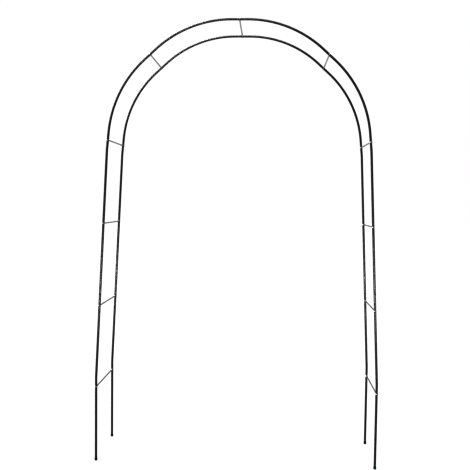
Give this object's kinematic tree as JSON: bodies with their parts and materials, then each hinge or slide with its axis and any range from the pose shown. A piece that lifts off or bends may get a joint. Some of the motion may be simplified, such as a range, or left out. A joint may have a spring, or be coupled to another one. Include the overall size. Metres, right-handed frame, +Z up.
{
  "type": "garden trellis arch",
  "caption": "Tall walk-through garden arch: two hoops of push-fit steel tube joined by short ladder rungs, on straight ground stakes, for climbing plants.",
  "frame": {"origin": "on the ground, midway between the four feet", "axes": "+Z up, +X across the walkway from the left leg to the right one, +Y through the walkway from the front hoop to the rear one"},
  "size_m": [1.5378, 0.395, 2.4005],
  "materials": {
    "tube_powder_coat": "semi-gloss black powder coat on thin steel tube",
    "rung_zinc": "dull zinc-plated rod with a ring welded to each end",
    "foot_plastic": "matt black moulded plastic"
  },
  "bodies": {
    "ground_stakes": {"front_left_stake": "tube_powder_coat", "front_right_stake": "tube_powder_coat", "rear_left_stake": "tube_powder_coat", "rear_right_stake": "tube_powder_coat", "front_left_foot_cap": "foot_plastic", "front_right_foot_cap": "foot_plastic", "rear_left_foot_cap": "foot_plastic", "rear_right_foot_cap": "foot_plastic"},
    "arch": {"front_left_leg_low": "tube_powder_coat", "front_left_leg_mid": "tube_powder_coat", "front_left_leg_top": "tube_powder_coat", "front_left_arc_low": "tube_powder_coat", "front_left_arc_high": "tube_powder_coat", "front_right_leg_low": "tube_powder_coat", "front_right_leg_mid": "tube_powder_coat", "front_right_leg_top": "tube_powder_coat", "front_right_arc_low": "tube_powder_coat", "front_right_arc_high": "tube_powder_coat", "rear_left_leg_low": "tube_powder_coat", "rear_left_leg_mid": "tube_powder_coat", "rear_left_leg_top": "tube_powder_coat", "rear_left_arc_low": "tube_powder_coat", "rear_left_arc_high": "tube_powder_coat", "rear_right_leg_low": "tube_powder_coat", "rear_right_leg_mid": "tube_powder_coat", "rear_right_leg_top": "tube_powder_coat", "rear_right_arc_low": "tube_powder_coat", "rear_right_arc_high": "tube_powder_coat", "rung_left_bottom": "rung_zinc", "rung_right_bottom": "rung_zinc", "rung_left_lower": "rung_zinc", "rung_right_lower": "rung_zinc", "rung_left_upper": "rung_zinc", "rung_right_upper": "rung_zinc", "rung_left_spring": "rung_zinc", "rung_right_spring": "rung_zinc", "rung_left_shoulder": "rung_zinc", "rung_right_shoulder": "rung_zinc", "rung_crown": "rung_zinc"}
  },
  "joints": [
    {"name": "lift_off", "type": "slide", "parent": "ground_stakes", "child": "arch", "axis": [0, 0, 1], "range_m": [0, 0.036]}
  ]
}
